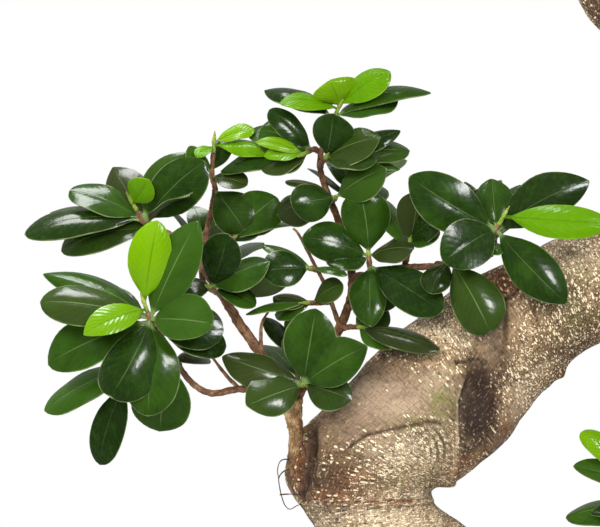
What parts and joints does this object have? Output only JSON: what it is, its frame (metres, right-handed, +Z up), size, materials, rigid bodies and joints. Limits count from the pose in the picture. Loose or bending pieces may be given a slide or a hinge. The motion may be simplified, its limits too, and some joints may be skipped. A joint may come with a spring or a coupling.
{
  "type": "chinese banyan bonsai in a pot",
  "caption": "Indoor banyan fig bonsai with an S-curved pale trunk, surface roots and glossy leaf pads, standing in soil in a rounded glazed pot.",
  "frame": {"origin": "middle of the pot's underside, on the surface that it stands on", "axes": "+Z up the tree, +X along the pot's long side to the right seen from the tree's best side, -Y towards that viewer"},
  "size_m": [0.7256, 0.294, 1.0258],
  "materials": {
    "bark": "grey-beige bark with cream flecks, matte",
    "leaf": "thick dark green leaves, glossy on top, paler below",
    "young_leaf": "bright yellow-green young leaves, satin",
    "glaze": "plain dark blue glaze on stoneware",
    "soil": "dark brown granular bonsai soil, rough",
    "screen": "black plastic mesh"
  },
  "bodies": {
    "root": {"drain_screen_left": "screen", "drain_screen_right": "screen", "new_growth_corner_a": "young_leaf", "new_growth_left_a": "young_leaf", "new_growth_left_b": "young_leaf", "new_growth_left_top": "young_leaf", "new_growth_mid_f": "young_leaf", "new_growth_mid_h": "young_leaf", "new_growth_right_k": "young_leaf", "pot": "glaze", "soil": "soil", "spray_back_a": "leaf", "spray_back_b": "leaf", "spray_back_c": "leaf", "spray_back_d": "leaf", "spray_corner_a": "leaf", "spray_corner_b": "leaf", "spray_corner_c": "leaf", "spray_corner_d": "leaf", "spray_corner_e": "leaf", "spray_corner_f": "leaf", "spray_corner_g": "leaf", "spray_crown_a": "leaf", "spray_crown_b": "leaf", "spray_crown_c": "leaf", "spray_crown_d": "leaf", "spray_crown_e": "leaf", "spray_crown_f": "leaf", "spray_high_a": "leaf", "spray_high_b": "leaf", "spray_high_c": "leaf", "spray_high_d": "leaf", "spray_high_e": "leaf", "spray_high_f": "leaf", "spray_inner_low": "leaf", "spray_inner_n": "leaf", "spray_inner_up": "leaf", "spray_left_a": "leaf", "spray_left_b": "leaf", "spray_left_c": "leaf", "spray_left_d": "leaf", "spray_left_low": "leaf", "spray_left_top": "leaf", "spray_low_m": "leaf", "spray_mid_f": "leaf", "spray_mid_g": "leaf", "spray_mid_h": "leaf", "spray_mid_i": "leaf", "spray_right_i": "leaf", "spray_right_j": "leaf", "spray_right_k": "leaf", "spray_right_l": "leaf", "spray_upper_a": "leaf", "spray_upper_b": "leaf", "spray_upper_c": "leaf", "spray_upper_d": "leaf", "spray_upper_e": "leaf", "spray_upper_f": "leaf", "trunk": "bark"}
  },
  "joints": []
}
